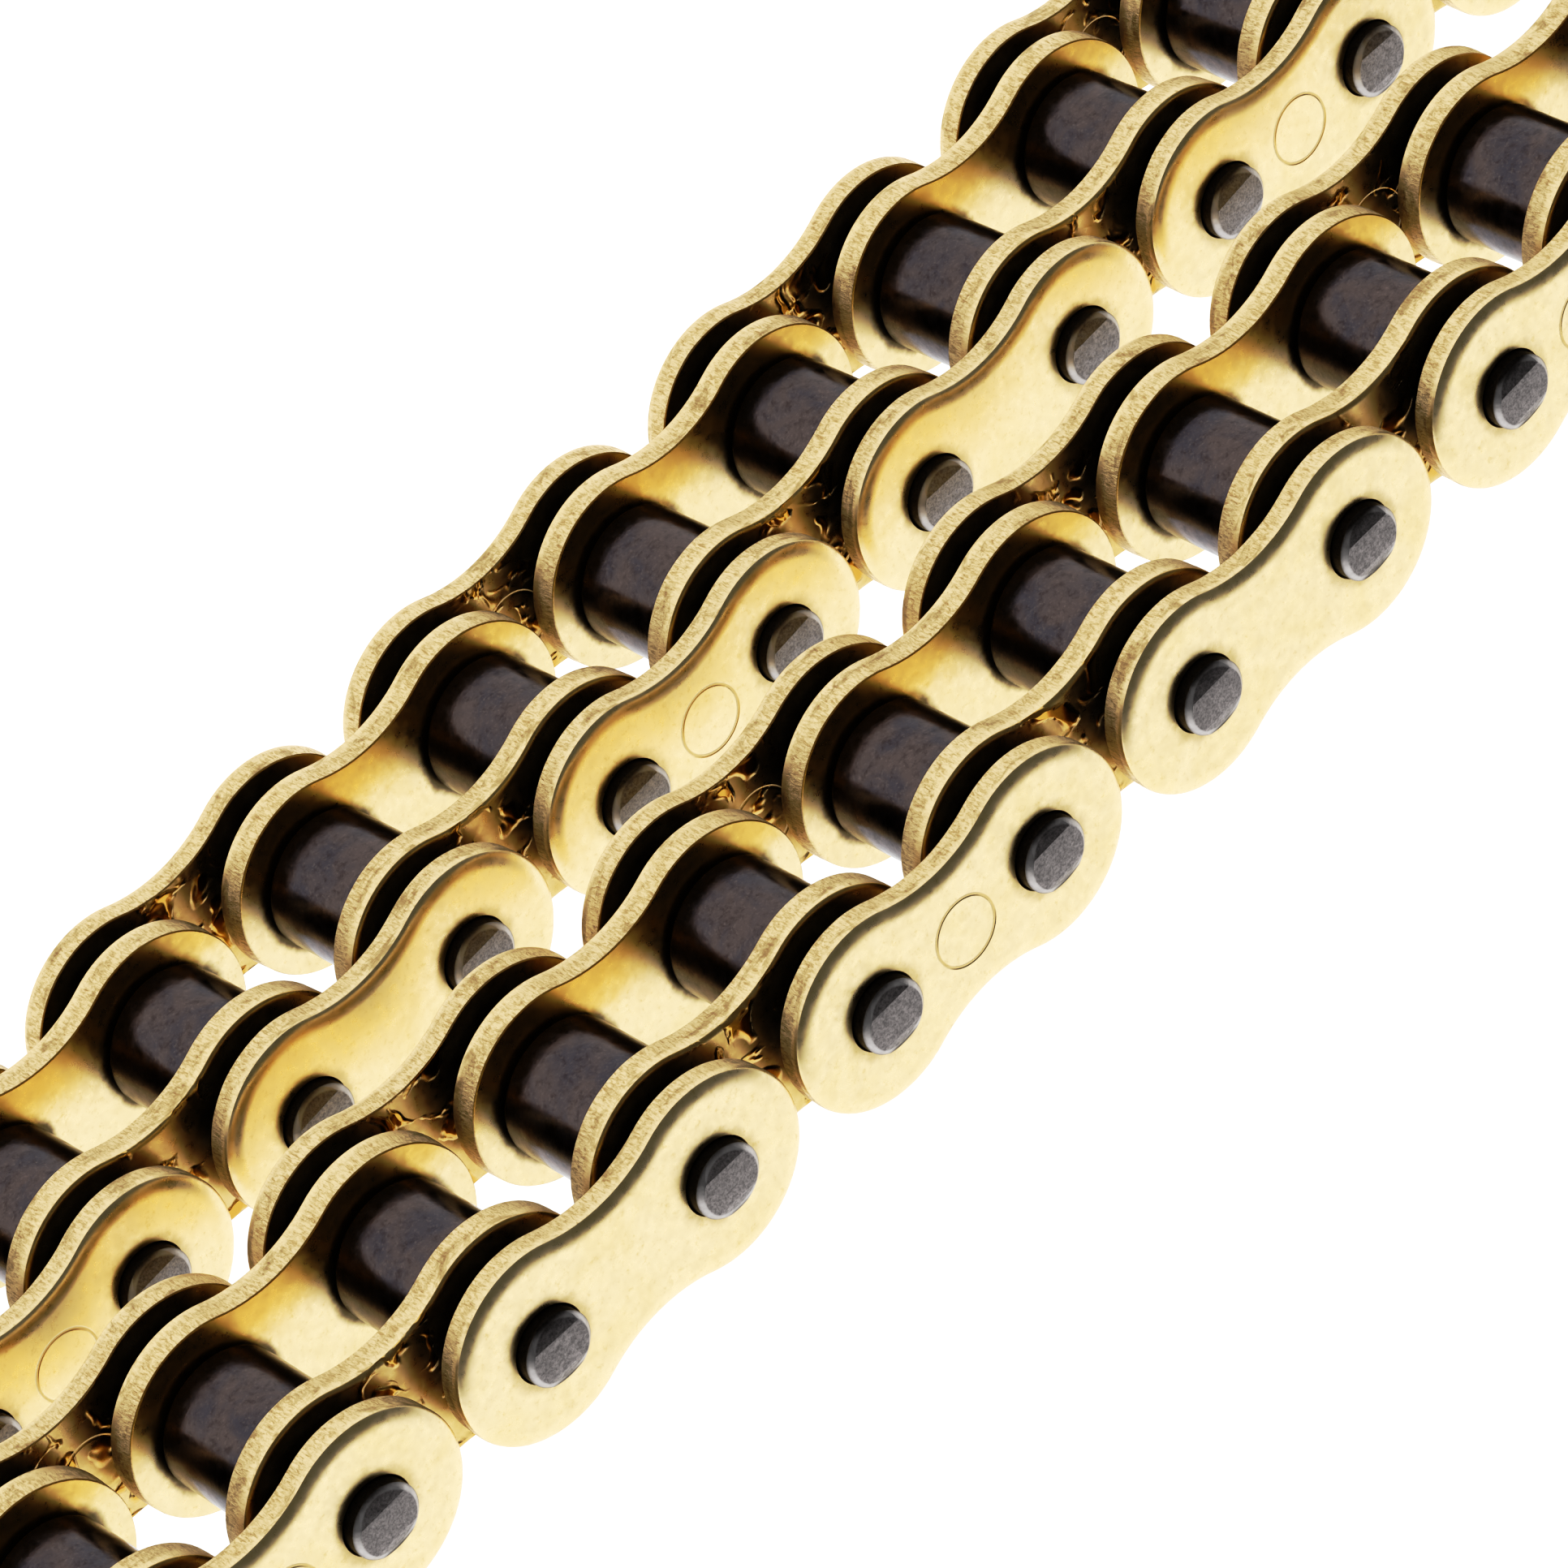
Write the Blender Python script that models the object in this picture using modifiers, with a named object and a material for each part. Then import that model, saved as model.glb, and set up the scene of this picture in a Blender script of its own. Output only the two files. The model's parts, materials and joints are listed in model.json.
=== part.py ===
"""A sealed roller chain for a motorcycle: two lengths of it lying side by side on their plate edges.

Metres, +Z up. The near length runs along +X, its pins lie along Y, and everything rests on z = 0.
Links alternate: a roller link (two inner plates pressed on two bushes, a roller turning on each bush)
and a pin link (two outer plates riveted on two pins, with a seal ring round each pin end).
One pin link and one roller link are made piece by piece; the others are joined solids of the same shape.
"""

import math

import bmesh
import bpy
from mathutils import Matrix

# Driving dimensions
PITCH = 0.015875
PLATE_RADIUS = 0.0074
WAIST_HALF_HEIGHT = 0.0056
OUTER_PLATE = 0.0021
INNER_PLATE = 0.0022
SEAL_GAP = 0.0019
INNER_WIDTH = 0.0096
PIN_RADIUS = 0.0027
PIN_PROTRUSION = 0.0012
PIN_CHAMFER = 0.0004
BUSH_RADIUS = 0.0039
ROLLER_RADIUS = 0.00508
SEAL_OUTER_RADIUS = 0.0052
PLAY = 0.0003
NEAR_LINKS = 11
FAR_LINKS = 12
RUN_SPACING = 0.0279
RUN_LAG = 0.0048
RUN_ANGLE = math.radians(1.54)

# Worked out from them
AXIS_HEIGHT = PLATE_RADIUS
INNER_FACE = INNER_WIDTH / 2
INNER_PLATE_MIDDLE = INNER_FACE + INNER_PLATE / 2
OUTER_FACE = INNER_FACE + INNER_PLATE + SEAL_GAP
OUTER_PLATE_MIDDLE = OUTER_FACE + OUTER_PLATE / 2
PIN_HALF_LENGTH = OUTER_FACE + OUTER_PLATE + PIN_PROTRUSION
SEAL_MIDDLE = OUTER_FACE - SEAL_GAP / 2
SEAL_THICKNESS = SEAL_GAP - 2 * PLAY
BORE_RADIUS = PIN_RADIUS + PLAY

# Facets
LOBE_FACETS = 16
ROUND_FACETS = 12
WAIST_STEPS = 3
BURIED = 0.0002
WELD = 1e-6
SHARP = math.radians(35)


def start_scene():
    for old in list(bpy.data.objects):
        bpy.data.objects.remove(old)
    parts = bpy.data.collections.new("drive_chain")
    bpy.context.scene.collection.children.link(parts)
    return parts


def material(name, colour, metallic, roughness):
    made = bpy.data.materials.new(name)
    made.use_nodes = True
    shader = made.node_tree.nodes["Principled BSDF"]
    shader.inputs["Base Color"].default_value = (*colour, 1.0)
    shader.inputs["Metallic"].default_value = metallic
    shader.inputs["Roughness"].default_value = roughness
    return made


def arc(centre, radius, start, end, steps):
    """Points from angle start to angle end, both kept."""
    turn = (end - start) / steps
    return [
        (centre[0] + radius * math.cos(start + turn * i), centre[1] + radius * math.sin(start + turn * i))
        for i in range(steps + 1)
    ]


def plate_outline():
    """A figure of eight: a round lobe about each joint, with a hollow waist arc tangent to both."""
    half = PITCH / 2
    dip = PLATE_RADIUS - WAIST_HALF_HEIGHT
    waist_radius = (half**2 + WAIST_HALF_HEIGHT**2 - PLATE_RADIUS**2) / (2 * dip)
    waist_centre = WAIST_HALF_HEIGHT + waist_radius
    tangent = math.atan2(waist_centre, half)
    facet = math.tau / LOBE_FACETS
    lobe_reach = int((math.pi - tangent) / facet - 0.5) + 0.5
    # The facets lie outside the true lobe and touch it in their middles, so one is flat on the ground.
    corner_radius = PLATE_RADIUS / math.cos(facet / 2)
    right = arc((half, 0), corner_radius, -lobe_reach * facet, lobe_reach * facet, int(2 * lobe_reach))
    lean = math.pi / 2 - tangent
    top = arc((0, waist_centre), waist_radius, -math.pi / 2 + lean, -math.pi / 2 - lean, WAIST_STEPS)
    left = [(-x, -z) for x, z in right]
    bottom = [(-x, -z) for x, z in top]
    return right + top + left + bottom


def circle(centre, radius, facets=ROUND_FACETS):
    return arc(centre, radius, 0, math.tau * (1 - 1 / facets), facets - 1)


def flat_mesh(name, outlines, thickness, middle):
    """A plate in the XZ plane: the first outline filled, less the others, centred on y = middle."""
    curve = bpy.data.curves.new(name, "CURVE")
    curve.dimensions = "2D"
    curve.fill_mode = "BOTH"
    curve.extrude = thickness / 2
    for outline in outlines:
        spline = curve.splines.new("POLY")
        spline.points.add(len(outline) - 1)
        for point, (x, z) in zip(spline.points, outline):
            point.co = (x, z, 0, 1)
        spline.use_cyclic_u = True
    guide = bpy.data.objects.new(name, curve)
    bpy.context.scene.collection.objects.link(guide)
    bpy.context.view_layer.update()
    mesh = bpy.data.meshes.new_from_object(guide.evaluated_get(bpy.context.evaluated_depsgraph_get()))
    bpy.data.objects.remove(guide)
    shell = bmesh.new()
    shell.from_mesh(mesh)
    bmesh.ops.remove_doubles(shell, verts=shell.verts, dist=WELD)
    shell.to_mesh(mesh)
    shell.free()
    mesh.transform(Matrix.Translation((0, middle, 0)) @ Matrix.Rotation(math.pi / 2, 4, "X"))
    return mesh


def turned_mesh(name, profile, closed):
    """A profile of (radius, y) points turned about the Y axis; an open one starts and ends on the axis."""
    spun = bmesh.new()
    points = [spun.verts.new((radius, 0, along)) for radius, along in profile]
    for a, b in zip(points, points[1:]):
        spun.edges.new((a, b))
    if closed:
        spun.edges.new((points[-1], points[0]))
    mesh = bpy.data.meshes.new(name)
    spun.to_mesh(mesh)
    spun.free()
    lathe = bpy.data.objects.new(name, mesh)
    bpy.context.scene.collection.objects.link(lathe)
    screw = lathe.modifiers.new("turn", "SCREW")
    screw.axis = "Z"
    screw.steps = ROUND_FACETS
    screw.render_steps = ROUND_FACETS
    screw.use_merge_vertices = True
    screw.merge_threshold = WELD
    bpy.context.view_layer.update()
    turned = bpy.data.meshes.new_from_object(lathe.evaluated_get(bpy.context.evaluated_depsgraph_get()))
    bpy.data.objects.remove(lathe)
    # Local +Z becomes -Y, so the profile's top points to the near side.
    turned.transform(Matrix.Rotation(math.pi / 2, 4, "X"))
    return turned


def tube_mesh(name, inner, outer, half_length):
    profile = [(outer, half_length), (outer, -half_length), (inner, -half_length), (inner, half_length)]
    return turned_mesh(name, profile, closed=True)


def pin_mesh():
    """A pin with a chamfered end on each side, riveted over the outer plates."""
    end = PIN_HALF_LENGTH
    shoulder = end - PIN_CHAMFER
    tip = PIN_RADIUS - PIN_CHAMFER
    profile = [(0, end), (tip, end), (PIN_RADIUS, shoulder), (PIN_RADIUS, -shoulder), (tip, -end), (0, -end)]
    return turned_mesh("pin", profile, closed=False)


def rod_mesh(name, radius, half_length):
    profile = [(0, half_length), (radius, half_length), (radius, -half_length), (0, -half_length)]
    return turned_mesh(name, profile, closed=False)


def seal_mesh(middle):
    """A seal ring with a shallow groove in each of its four sides, like a squeezed X."""
    inner = BORE_RADIUS
    outer = SEAL_OUTER_RADIUS
    half = SEAL_THICKNESS / 2
    groove = SEAL_THICKNESS / 6
    across = (inner + outer) / 2
    profile = [
        (across, half - groove),
        (outer, half),
        (outer - groove, 0),
        (outer, -half),
        (across, groove - half),
        (inner, -half),
        (inner + groove, 0),
        (inner, half),
    ]
    mesh = turned_mesh("seal_ring", profile, closed=True)
    mesh.transform(Matrix.Translation((0, middle, 0)))
    return mesh


def boolean(base, operation, cutter, x):
    """The base mesh united with the other one set at x along the chain, or cut by it."""
    solid = bpy.data.objects.new("base", base)
    other = bpy.data.objects.new("other", cutter)
    other.location.x = x
    for thing in (solid, other):
        bpy.context.scene.collection.objects.link(thing)
    step = solid.modifiers.new(operation, "BOOLEAN")
    step.operation = operation
    step.object = other
    bpy.context.view_layer.update()
    made = bpy.data.meshes.new_from_object(solid.evaluated_get(bpy.context.evaluated_depsgraph_get()))
    for thing in (solid, other):
        bpy.data.objects.remove(thing)
    return made


def sealed_pin_mesh():
    """A pin with its two seal rings as collars against the outer plates."""
    inner = OUTER_FACE - PLAY - SEAL_THICKNESS
    outer = OUTER_FACE + BURIED
    shoulder = PIN_HALF_LENGTH - PIN_CHAMFER
    near_half = [
        (0, PIN_HALF_LENGTH),
        (PIN_RADIUS - PIN_CHAMFER, PIN_HALF_LENGTH),
        (PIN_RADIUS, shoulder),
        (PIN_RADIUS, outer),
        (SEAL_OUTER_RADIUS, outer),
        (SEAL_OUTER_RADIUS, inner),
        (PIN_RADIUS, inner),
    ]
    far_half = [(radius, -along) for radius, along in reversed(near_half)]
    return turned_mesh("sealed_pin", near_half + far_half, closed=False)


def joined_pin_link():
    """Both outer plates, both pins and the four seal rings as one solid."""
    link = flat_mesh("pin_link", [plate_outline()], OUTER_PLATE, -OUTER_PLATE_MIDDLE)
    for x in (-PITCH / 2, PITCH / 2):
        link = boolean(link, "UNION", sealed_pin_mesh(), x)
    back_plate = flat_mesh("plate", [plate_outline()], OUTER_PLATE, OUTER_PLATE_MIDDLE)
    return boolean(link, "UNION", back_plate, 0)


def joined_roller_link():
    """Both inner plates and both bushes as one solid, bored through for the pins."""
    link = flat_mesh("roller_link", [plate_outline()], INNER_PLATE, -INNER_PLATE_MIDDLE)
    for x in (-PITCH / 2, PITCH / 2):
        link = boolean(link, "UNION", rod_mesh("bush", BUSH_RADIUS, INNER_FACE + BURIED), x)
    back_plate = flat_mesh("plate", [plate_outline()], INNER_PLATE, INNER_PLATE_MIDDLE)
    link = boolean(link, "UNION", back_plate, 0)
    for x in (-PITCH / 2, PITCH / 2):
        link = boolean(link, "DIFFERENCE", rod_mesh("bore", BORE_RADIUS, OUTER_FACE), x)
    return link


def place(parts, name, mesh, finish, holder, location=(0, 0, 0)):
    """A part of the chain, held by the empty on its joint axis."""
    part = bpy.data.objects.new(name, mesh)
    if not mesh.materials:
        mesh.materials.append(finish)
        mesh.shade_smooth()
        mesh.set_sharp_from_angle(angle=SHARP)
    parts.objects.link(part)
    part.parent = holder
    part.location = location
    return part


def axis_empty(name, location, holder=None):
    empty = bpy.data.objects.new(name, None)
    empty.empty_display_size = PITCH / 4
    bpy.context.scene.collection.objects.link(empty)
    empty.location = location
    empty.parent = holder
    return empty


def split_pin_link(parts, name, holder, middle, gold, black, rubber):
    """One pin link, piece by piece: plates, pins and seal rings."""
    holes = [circle((-PITCH / 2, 0), BORE_RADIUS), circle((PITCH / 2, 0), BORE_RADIUS)]
    for side, label in ((-1, "front"), (1, "back")):
        plate = flat_mesh("plate", [plate_outline(), *holes], OUTER_PLATE, side * OUTER_PLATE_MIDDLE)
        place(parts, f"{name}_{label}_plate", plate, gold, holder, (middle, 0, 0))
        for end, which in ((-1, "left"), (1, "right")):
            seal = seal_mesh(side * SEAL_MIDDLE)
            where = (middle + end * PITCH / 2, 0, 0)
            place(parts, f"{name}_{label}_{which}_seal_ring", seal, rubber, holder, where)
    for end, which in ((-1, "left"), (1, "right")):
        place(parts, f"{name}_{which}_pin", pin_mesh(), black, holder, (middle + end * PITCH / 2, 0, 0))


def split_roller_link(parts, name, holder, middle, gold, black):
    """One roller link, piece by piece: plates and bushes."""
    hole = BUSH_RADIUS + PLAY
    holes = [circle((-PITCH / 2, 0), hole), circle((PITCH / 2, 0), hole)]
    for side, label in ((-1, "front"), (1, "back")):
        plate = flat_mesh("plate", [plate_outline(), *holes], INNER_PLATE, side * INNER_PLATE_MIDDLE)
        place(parts, f"{name}_{label}_plate", plate, gold, holder, (middle, 0, 0))
    for end, which in ((-1, "left"), (1, "right")):
        bush = tube_mesh("bush", BORE_RADIUS, BUSH_RADIUS, INNER_FACE + INNER_PLATE)
        place(parts, f"{name}_{which}_bush", bush, black, holder, (middle + end * PITCH / 2, 0, 0))


def build_run(parts, run, links, root, split, origin, shapes, finishes):
    """One length of chain. Its root link stays put, and each other link hangs on its neighbour's joint."""
    gold, black, brown, rubber = finishes
    holders = {root: axis_empty(f"{run}_link_{root:02d}_axis", ((root - 0.5) * PITCH, 0, 0), origin)}
    outward = sorted(set(range(1, links + 1)) - {root}, key=lambda link: abs(link - root))
    middles = {root: 0.0}
    for link in outward:
        way = 1 if link > root else -1
        inner = link - way
        joint = middles[inner] + way * PITCH / 2
        holders[link] = axis_empty(f"{run}_link_{link:02d}_axis", (joint, 0, 0), holders[inner])
        middles[link] = way * PITCH / 2
    for link in range(1, links + 1):
        holder = holders[link]
        middle = middles[link]
        if link % 2 == 0:
            name = f"{run}_pin_link_{link:02d}"
            if link in split:
                split_pin_link(parts, name, holder, middle, gold, black, rubber)
            else:
                place(parts, name, shapes["pin_link"], gold, holder, (middle, 0, 0))
            continue
        name = f"{run}_roller_link_{link:02d}"
        if link in split:
            split_roller_link(parts, name, holder, middle, gold, black)
        else:
            place(parts, name, shapes["roller_link"], gold, holder, (middle, 0, 0))
        for end in (0, 1):
            where = (middle + (end - 0.5) * PITCH, 0, 0)
            place(parts, f"{run}_roller_{link + end:02d}", shapes["roller"], brown, holder, where)


def centre_on_ground(parts, base):
    """Moves the whole chain so that the middle of its box is above the origin."""
    bpy.context.view_layer.update()
    corners = [part.matrix_world @ vertex.co for part in parts.objects for vertex in part.data.vertices]
    for side in (0, 1):
        places = [corner[side] for corner in corners]
        base.location[side] = -(min(places) + max(places)) / 2


def main():
    parts = start_scene()
    finishes = (
        material("gold_plate", (0.80, 0.62, 0.30), 1.0, 0.35),
        material("black_oxide", (0.07, 0.07, 0.075), 0.9, 0.35),
        material("dark_roller", (0.06, 0.045, 0.045), 0.8, 0.3),
        material("seal_rubber", (0.02, 0.02, 0.02), 0.0, 0.6),
    )
    shapes = {
        "pin_link": joined_pin_link(),
        "roller_link": joined_roller_link(),
        "roller": tube_mesh("roller", BUSH_RADIUS + PLAY, ROLLER_RADIUS, INNER_FACE - PLAY),
    }
    base = axis_empty("chain_base", (0, 0, 0))
    near_run = axis_empty("near_run", (0, 0, AXIS_HEIGHT), base)
    far_run = axis_empty("far_run", (RUN_LAG, RUN_SPACING, AXIS_HEIGHT), base)
    far_run.rotation_euler.z = RUN_ANGLE
    build_run(parts, "near", NEAR_LINKS, 6, (6, 7), near_run, shapes, finishes)
    build_run(parts, "far", FAR_LINKS, 6, (), far_run, shapes, finishes)
    centre_on_ground(parts, base)


main()
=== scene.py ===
"""Looks for a sealed roller chain: two lengths of it lying side by side on their plate edges.

Every piece is built here in millimetres, in its link's own frame (x along the chain, y along the pins,
z up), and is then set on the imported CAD's joint axes.
"""

import json
import math
import random

import bmesh
import bpy
import numpy as np
from mathutils import Matrix, Vector, noise
from mathutils.geometry import delaunay_2d_cdt

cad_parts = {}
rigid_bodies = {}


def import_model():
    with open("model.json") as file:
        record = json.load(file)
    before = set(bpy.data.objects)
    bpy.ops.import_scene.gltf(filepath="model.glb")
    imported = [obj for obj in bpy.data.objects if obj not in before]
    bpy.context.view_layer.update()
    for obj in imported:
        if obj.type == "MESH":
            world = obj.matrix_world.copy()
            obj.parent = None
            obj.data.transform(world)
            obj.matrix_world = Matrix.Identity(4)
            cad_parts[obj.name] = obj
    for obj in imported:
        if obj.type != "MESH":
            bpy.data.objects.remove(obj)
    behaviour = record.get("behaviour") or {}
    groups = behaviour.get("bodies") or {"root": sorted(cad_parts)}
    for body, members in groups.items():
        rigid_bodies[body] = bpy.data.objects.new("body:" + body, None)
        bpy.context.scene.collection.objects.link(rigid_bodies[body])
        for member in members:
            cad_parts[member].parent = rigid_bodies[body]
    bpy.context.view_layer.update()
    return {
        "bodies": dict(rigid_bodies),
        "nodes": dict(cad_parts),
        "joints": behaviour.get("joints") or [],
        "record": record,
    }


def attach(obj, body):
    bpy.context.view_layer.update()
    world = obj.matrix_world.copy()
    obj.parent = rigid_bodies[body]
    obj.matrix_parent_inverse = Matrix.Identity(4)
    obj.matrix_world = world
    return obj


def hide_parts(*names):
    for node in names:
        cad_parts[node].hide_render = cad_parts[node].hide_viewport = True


MM = 0.001

# The chain's dimensions, in millimetres
PITCH = 15.875
PLATE_RADIUS = 7.4
WAIST_HALF_HEIGHT = 5.6
OUTER_PLATE = 2.1
INNER_PLATE = 2.2
SEAL_GAP = 1.9
INNER_WIDTH = 9.6
PIN_RADIUS = 2.7
PIN_PROTRUSION = 1.2
BUSH_RADIUS = 3.9
ROLLER_RADIUS = 5.08
SEAL_OUTER_RADIUS = 5.2
PLAY = 0.3

INNER_FACE = INNER_WIDTH / 2
INNER_MIDDLE = INNER_FACE + INNER_PLATE / 2
OUTER_FACE = INNER_FACE + INNER_PLATE + SEAL_GAP
OUTER_MIDDLE = OUTER_FACE + OUTER_PLATE / 2
PIN_END = OUTER_FACE + OUTER_PLATE + PIN_PROTRUSION
SEAL_MIDDLE = OUTER_FACE - SEAL_GAP / 2

# Die-rolled rim: how far in from the outline it starts, and how deep it goes
OUTER_ROLL = (1.3, 0.55)
INNER_ROLL = (0.5, 0.3)
ROLL_END = math.radians(74)
HOLE_CHAMFER = 0.14

# The plain ring stamped on every other pin link, and half its line's width
STAMP_RADIUS = 2.6
STAMP_LINE = 0.17

# Staked pin end: half width of the flat band, slope of its two facets, and the end chamfer
STAKE_HALF_WIDTH = 1.35
STAKE_SLOPE = math.radians(19)
END_CHAMFER = (0.42, 0.36)

# The view: where the camera looks from, about the middle link of the near run
VIEW_TARGET = (3.34, 10.06, 0.0)
VIEW_AZIMUTH = math.radians(27.5)
VIEW_ELEVATION = math.radians(42.6)
VIEW_ROLL = math.radians(24.8)
VIEW_DISTANCE = 521.0
LENS = 177.8
FLOOR_DROP = 0.25
FLOOR_FRONT = 0.42
FLOOR_SIZE = 3.0
FLOOR_MIDDLE = 0.3

# The studio: a white sweep, a floor that glows, and a dim room behind the camera
WHITE = (1.0, 1.0, 1.0, 1)
ROOM = (0.11, 0.11, 0.112, 1)
FLOOR_COLOUR = (0.5, 0.5, 0.5, 1)
FLOOR_GLOW = 0.82

# Contrast curve: linear levels, and what they are shown as
TONE = ((0.03, 0.012), (0.08, 0.052), (0.16, 0.125), (0.4, 0.5), (0.6, 0.72), (0.8, 0.88))

# Fineness of the round shapes, and the corners that stay sharp
HOLE_POINTS = 48
PIN_SEGMENTS = 64
SHARP_ANGLE = math.radians(32)

# The roller's rounded ends, its bore's chamfer, and how far each roller has turned from the last
ROLLER_ROUND = 0.3
ROLLER_CHAMFER = 0.15
ROLLER_TURN = 1.3

# The back face's sheared rim
PLAIN_RIM = 0.16

# How unlike each other the staked ends are, and how their corners are eased
SKEW_SPREAD = 5
WIDTH_SPREAD = 0.12
SLOPE_SPREAD = 3
STAKE_CORNER = math.radians(9)
CORNER_BEVEL = 0.055

# Plating
PALE_GOLD = (0.895, 0.73, 0.425)
OCHRE_SPECK = (0.64, 0.46, 0.18)
DEEP_GOLD = (0.80, 0.61, 0.27)
STAMP_GROOVE = (0.42, 0.28, 0.10)
# Painted contact shadow, with grime, round each pin hole
PIN_SHADOW_AND_STAIN = (0.30, 0.21, 0.09)

# Sheared plate edges
BRIGHT_SHEAR = (0.86, 0.685, 0.40)
DARK_STREAK = (0.40, 0.26, 0.11)
CHIP = (0.22, 0.13, 0.05)
EDGE_DIRT = (0.30, 0.205, 0.09)

# Oil and grease, with painted light: shade round the rollers and in the seal gaps, and an amber reflection
# on the inner plates
# Painted contact shade, with burnt oil, round the rollers
ROLLER_SHADE_AND_OIL = (0.05, 0.03, 0.012)
# Painted amber reflection on the upper part of the inner plates' roller faces
AMBER_REFLECTION = (0.72, 0.45, 0.10)
# Painted shade with grease in the seal gaps: dark near the pins, amber further out
DARK_GAP_SHADE_AND_GREASE = (0.05, 0.028, 0.01)
AMBER_GAP_SHADE_AND_GREASE = (0.52, 0.32, 0.07)
WET_GREASE = (0.56, 0.30, 0.045)

# Pins and bushes
STRUCK_STEEL = ((0.30, 0.28, 0.275), (0.15, 0.14, 0.137))
BLACK_STEEL = ((0.07, 0.058, 0.047), (0.03, 0.025, 0.02))
# Painted highlight on the chamfer rim of each pin end
CHAMFER_HIGHLIGHT = (0.55, 0.53, 0.52)

# Rollers
BROWN_ROLLER = (0.13, 0.10, 0.093)
BLUE_ROLLER = (0.080, 0.073, 0.084)
WORN_ROLLER = (0.045, 0.036, 0.036)
ROLLER_SPECK = (0.23, 0.185, 0.17)

# Seal rings
RUBBER = (0.012, 0.011, 0.010)
RUBBER_DUST = (0.05, 0.038, 0.025)


# ---------------------------------------------------------------- meshes


class Shell:
    """Collects vertices with their normals and surface notes, then becomes a mesh."""

    def __init__(self):
        self.points = []
        self.normals = []
        self.zones = []
        self.tracks = []
        self.faces = []

    def ring(self, points, normals, zone, track=None):
        start = len(self.points)
        count = len(points)
        self.points.extend(points)
        self.normals.extend(normals)
        self.zones.extend([zone] * count)
        self.tracks.extend(track if track is not None else [(0.0, 0.0, 0.0)] * count)
        return start

    def bridge(self, first, second, count):
        for i in range(count):
            after = (i + 1) % count
            self.faces.append((first + i, first + after, second + after, second + i))

    def mesh(self, name, flip=False):
        points = np.array(self.points)
        normals = np.array(self.normals)
        if flip:
            points = points * (1, -1, 1)
            normals = normals * (1, -1, 1)
        faces = []
        for face in self.faces:
            a, b, c = (points[i] for i in face[:3])
            turned = np.dot(np.cross(b - a, c - a), sum(normals[i] for i in face)) < 0
            faces.append(tuple(reversed(face)) if turned else face)
        mesh = bpy.data.meshes.new(name)
        mesh.from_pydata((points * MM).tolist(), [], faces)
        mesh.shade_smooth()
        mesh.normals_split_custom_set_from_vertices(normals.tolist())
        note(mesh, "local", np.array(self.points))
        note(mesh, "zone", np.array(self.zones))
        note(mesh, "track", np.array(self.tracks))
        return mesh


def note(mesh, name, values):
    """Keeps one vector for each vertex, for the finishes to read."""
    layer = mesh.attributes.new(name, "FLOAT_VECTOR", "POINT")
    layer.data.foreach_set("vector", np.asarray(values, dtype=np.float32).ravel())


def plate_outline(step=0.62):
    """Points, outward normals and distances along a figure of eight: two lobes and two waist arcs."""
    half = PITCH / 2
    waist = (half**2 + WAIST_HALF_HEIGHT**2 - PLATE_RADIUS**2) / (2 * (PLATE_RADIUS - WAIST_HALF_HEIGHT))
    centre = WAIST_HALF_HEIGHT + waist
    reach = math.pi - math.atan2(centre, half)
    lean = math.pi / 2 - math.atan2(centre, half)
    arcs = (
        ((half, 0), PLATE_RADIUS, -reach, reach, 1),
        ((0, centre), waist, lean - math.pi / 2, -lean - math.pi / 2, -1),
        ((-half, 0), PLATE_RADIUS, math.pi - reach, math.pi + reach, 1),
        ((0, -centre), waist, math.pi / 2 + lean, math.pi / 2 - lean, -1),
    )
    points = []
    normals = []
    for (x, z), radius, start, end, way in arcs:
        count = max(4, round(abs(end - start) * radius / step))
        for i in range(count):
            angle = start + (end - start) * i / count
            out = (math.cos(angle), math.sin(angle))
            points.append((x + radius * out[0], z + radius * out[1]))
            normals.append((way * out[0], way * out[1]))
    points = np.array(points)
    gaps = np.linalg.norm(np.roll(points, -1, axis=0) - points, axis=1)
    along = np.concatenate(([0.0], np.cumsum(gaps)[:-1]))
    return points, np.array(normals), along


def cap(shell, rim, holes, y, way, zone, track):
    """A flat face inside the rim ring and outside the hole rings, facing way along y."""
    loops = [rim, *holes]
    spots = []
    edges = []
    for loop in loops:
        base = len(spots)
        spots.extend(Vector((p[0], p[1])) for p in loop)
        edges.extend((base + i, base + (i + 1) % len(loop)) for i in range(len(loop)))
    spots, _, faces = delaunay_2d_cdt(spots, edges, [], 1, 1e-5)[:3]
    start = shell.ring(
        [(p.x, y, p.y) for p in spots], [(0, way, 0)] * len(spots), zone, [track] * len(spots)
    )
    inner = [(np.mean(hole, axis=0), np.linalg.norm(np.mean(hole, axis=0) - hole[0])) for hole in holes]
    for face in faces:
        middle = np.mean([spots[i] for i in face], axis=0)
        if all(np.linalg.norm(middle - centre) > radius * 0.999 for centre, radius in inner):
            shell.faces.append(tuple(start + i for i in face))


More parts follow.
